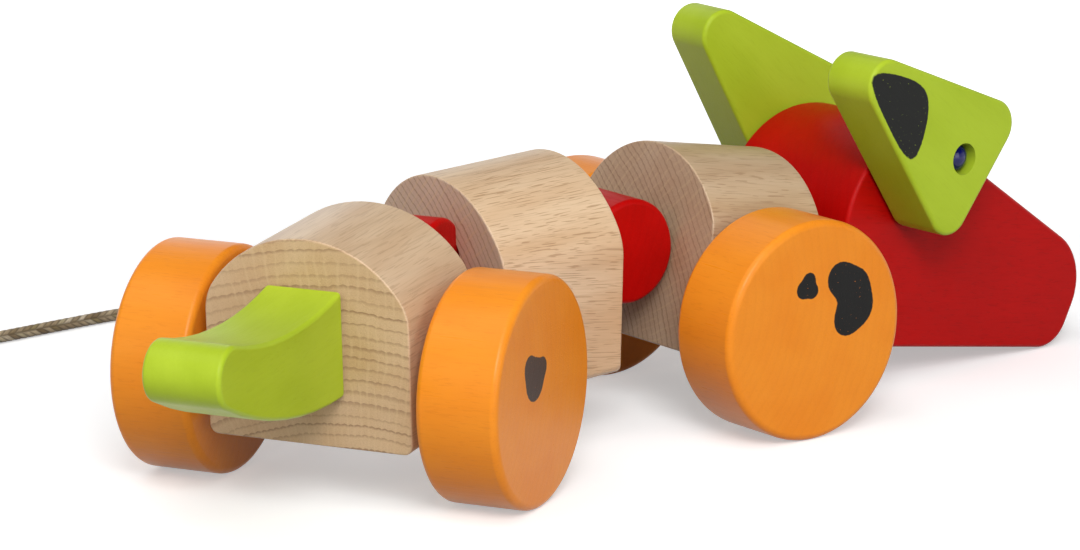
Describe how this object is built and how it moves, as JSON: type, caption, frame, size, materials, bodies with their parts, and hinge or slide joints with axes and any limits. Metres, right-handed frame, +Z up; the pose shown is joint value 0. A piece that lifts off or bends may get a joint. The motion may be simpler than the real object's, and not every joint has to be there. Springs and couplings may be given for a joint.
{
  "type": "wheeled pull toy",
  "caption": "Jointed wooden pull-along dog: arched beech body blocks on red knuckles, orange wheels, red head, green ears and tail, and a braided pull cord.",
  "frame": {"origin": "on the floor under the middle of the toy's outline, without the cord", "axes": "+X towards the nose along the front block's heading, +Y to the toy's left, +Z up"},
  "size_m": [0.3049, 0.2649, 0.0912],
  "materials": {
    "beech": "sanded clear beech with short dark flecks",
    "birch": "plain turned dowel wood",
    "orange_paint": "satin orange paint on wood",
    "green_paint": "satin green paint on wood",
    "red_paint": "satin red paint on wood",
    "blue_gloss": "glossy dark blue lacquer on wood",
    "cord_cotton": "braided cotton cord"
  },
  "bodies": {
    "mid": {"mid_block": "beech", "front_knuckle": "red_paint", "front_knuckle_dowel": "birch", "rear_tongue": "birch"},
    "front_pin": {"front_hinge_pin": "birch"},
    "front": {"front_block": "beech", "front_tongue": "birch", "head": "red_paint", "neck_dowel": "red_paint", "left_eye_peg": "blue_gloss", "right_eye_peg": "blue_gloss", "pull_cord": "cord_cotton", "cord_coil": "cord_cotton", "end_knot": "cord_cotton"},
    "rear_pin": {"rear_hinge_pin": "birch"},
    "rear": {"rear_block": "beech", "rear_knuckle": "red_paint", "rear_knuckle_dowel": "birch", "tail": "green_paint", "upper_tail_dowel": "birch", "lower_tail_dowel": "birch"},
    "front_wheels": {"front_axle": "birch", "front_left_wheel": "orange_paint", "front_right_wheel": "orange_paint"},
    "rear_wheels": {"rear_axle": "birch", "rear_left_wheel": "orange_paint", "rear_right_wheel": "orange_paint"},
    "left_ear": {"left_ear": "green_paint"},
    "right_ear": {"right_ear": "green_paint"}
  },
  "joints": [
    {"name": "front_swing", "type": "hinge", "parent": "mid", "child": "front_pin", "pos_m": [0.0076, 0.0093, 0.0441], "axis": [-0.0583, -0.1057, 0.9927], "range_deg": [-28, 23]},
    {"name": "front_nod", "type": "hinge", "parent": "front_pin", "child": "front", "pos_m": [0.0076, 0.0093, 0.0441], "axis": [0, -1, 0], "range_deg": [-2, 27]},
    {"name": "rear_nod", "type": "hinge", "parent": "mid", "child": "rear_pin", "pos_m": [-0.05341, 0.00956, 0.04417], "axis": [-0.0043, -0.9943, -0.1061], "range_deg": [-14, 14]},
    {"name": "rear_swing", "type": "hinge", "parent": "rear_pin", "child": "rear", "pos_m": [-0.05341, 0.00956, 0.04417], "axis": [-0.0426, -0.024, 0.9988], "range_deg": [-54, 1]},
    {"name": "front_wheel_spin", "type": "hinge", "parent": "front", "child": "front_wheels", "pos_m": [0.0346, 0.0093, 0.027], "axis": [0, 1, 0], "continuous": true},
    {"name": "rear_wheel_spin", "type": "hinge", "parent": "rear", "child": "rear_wheels", "pos_m": [-0.07562, -0.00296, 0.027], "axis": [-0.4909, 0.8712, 0], "continuous": true},
    {"name": "right_ear_turn", "type": "hinge", "parent": "front", "child": "right_ear", "pos_m": [0.09098, -0.01263, 0.06007], "axis": [0.0705, -0.9974, -0.0121], "range_deg": [-150, 48]},
    {"name": "left_ear_turn", "type": "hinge", "parent": "front", "child": "left_ear", "pos_m": [0.09098, 0.03123, 0.06007], "axis": [-0.0705, -0.9974, 0.0121], "range_deg": [-144, 54]}
  ]
}
